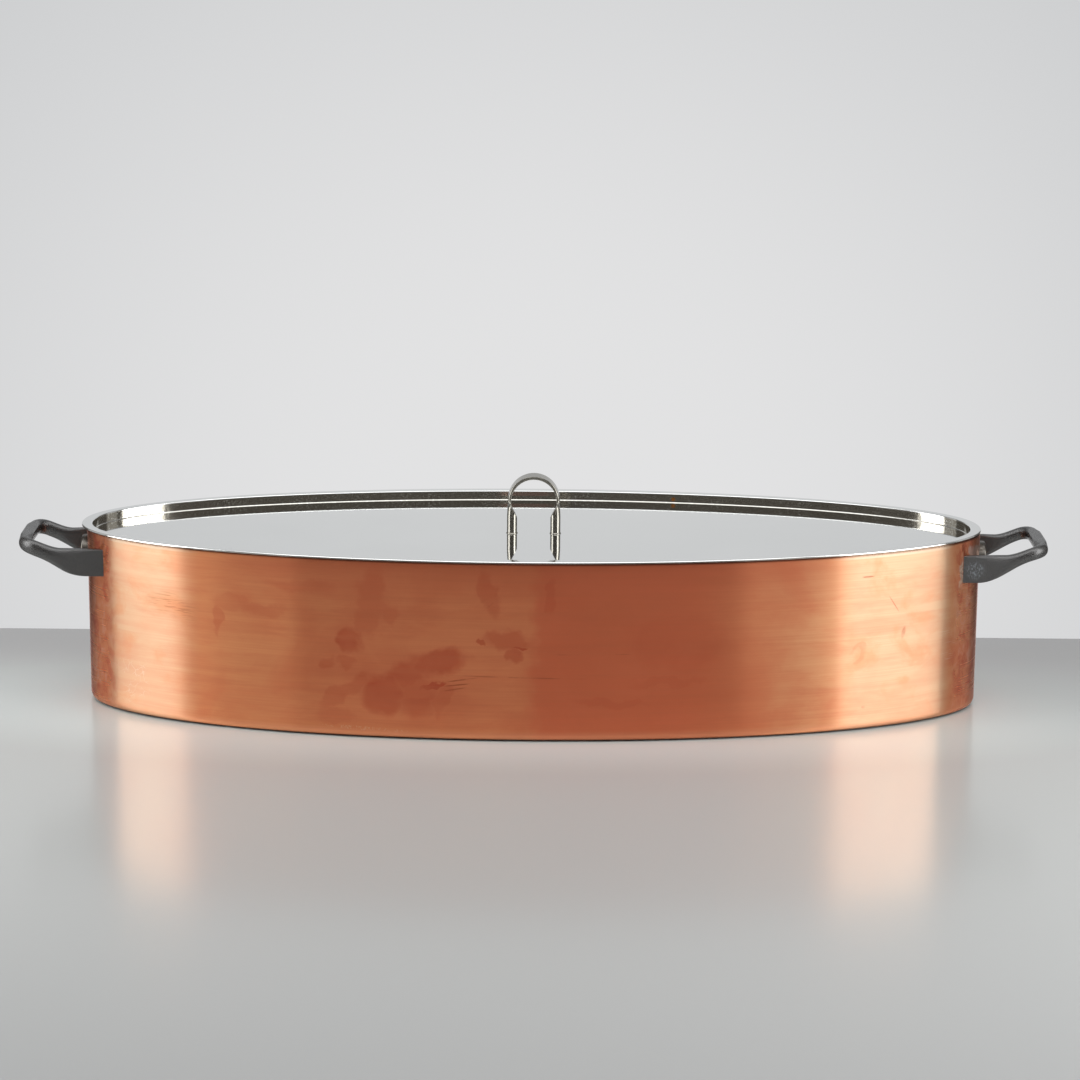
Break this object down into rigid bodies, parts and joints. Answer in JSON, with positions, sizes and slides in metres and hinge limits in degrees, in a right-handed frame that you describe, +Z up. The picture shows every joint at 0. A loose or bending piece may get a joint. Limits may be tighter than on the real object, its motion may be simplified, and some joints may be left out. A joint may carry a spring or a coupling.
{
  "type": "fish kettle",
  "caption": "Long oval copper fish kettle with black stirrup handles, a sunk polished lid with a bow handle, and a lift-out slotted rack.",
  "frame": {"origin": "middle of the base, on its lowest face", "axes": "+X along the kettle's length towards one handle, +Y across it, +Z up"},
  "size_m": [0.6836, 0.2138, 0.1542],
  "materials": {
    "copper": "polished copper, lightly tarnished, with fine brushing along the wall",
    "lining_steel": "brushed stainless steel",
    "black_iron": "black, satin, worn at the corners",
    "boss_steel": "turned steel, dull",
    "lid_steel": "mirror-polished stainless steel",
    "rack_steel": "satin stainless steel"
  },
  "bodies": {
    "pot": {"copper_shell": "copper", "steel_lining": "lining_steel", "left_handle": "black_iron", "right_handle": "black_iron", "handle_bosses": "boss_steel"},
    "lid": {"lid_pan": "lid_steel", "lid_handle": "lid_steel", "lid_handle_screws": "lining_steel"},
    "rack": {"rack_plate": "rack_steel", "rack_feet": "rack_steel", "left_rack_handle": "rack_steel", "right_rack_handle": "rack_steel"}
  },
  "joints": [
    {"name": "lid_lift", "type": "slide", "parent": "pot", "child": "lid", "axis": [0, 0, 1], "range_m": [0, 0.25]},
    {"name": "rack_lift", "type": "slide", "parent": "pot", "child": "rack", "axis": [0, 0, 1], "range_m": [0, 0.15]}
  ],
  "couplings": [
    {"joint": "rack_lift", "follows": "lid_lift", "ratio": 0.6}
  ]
}
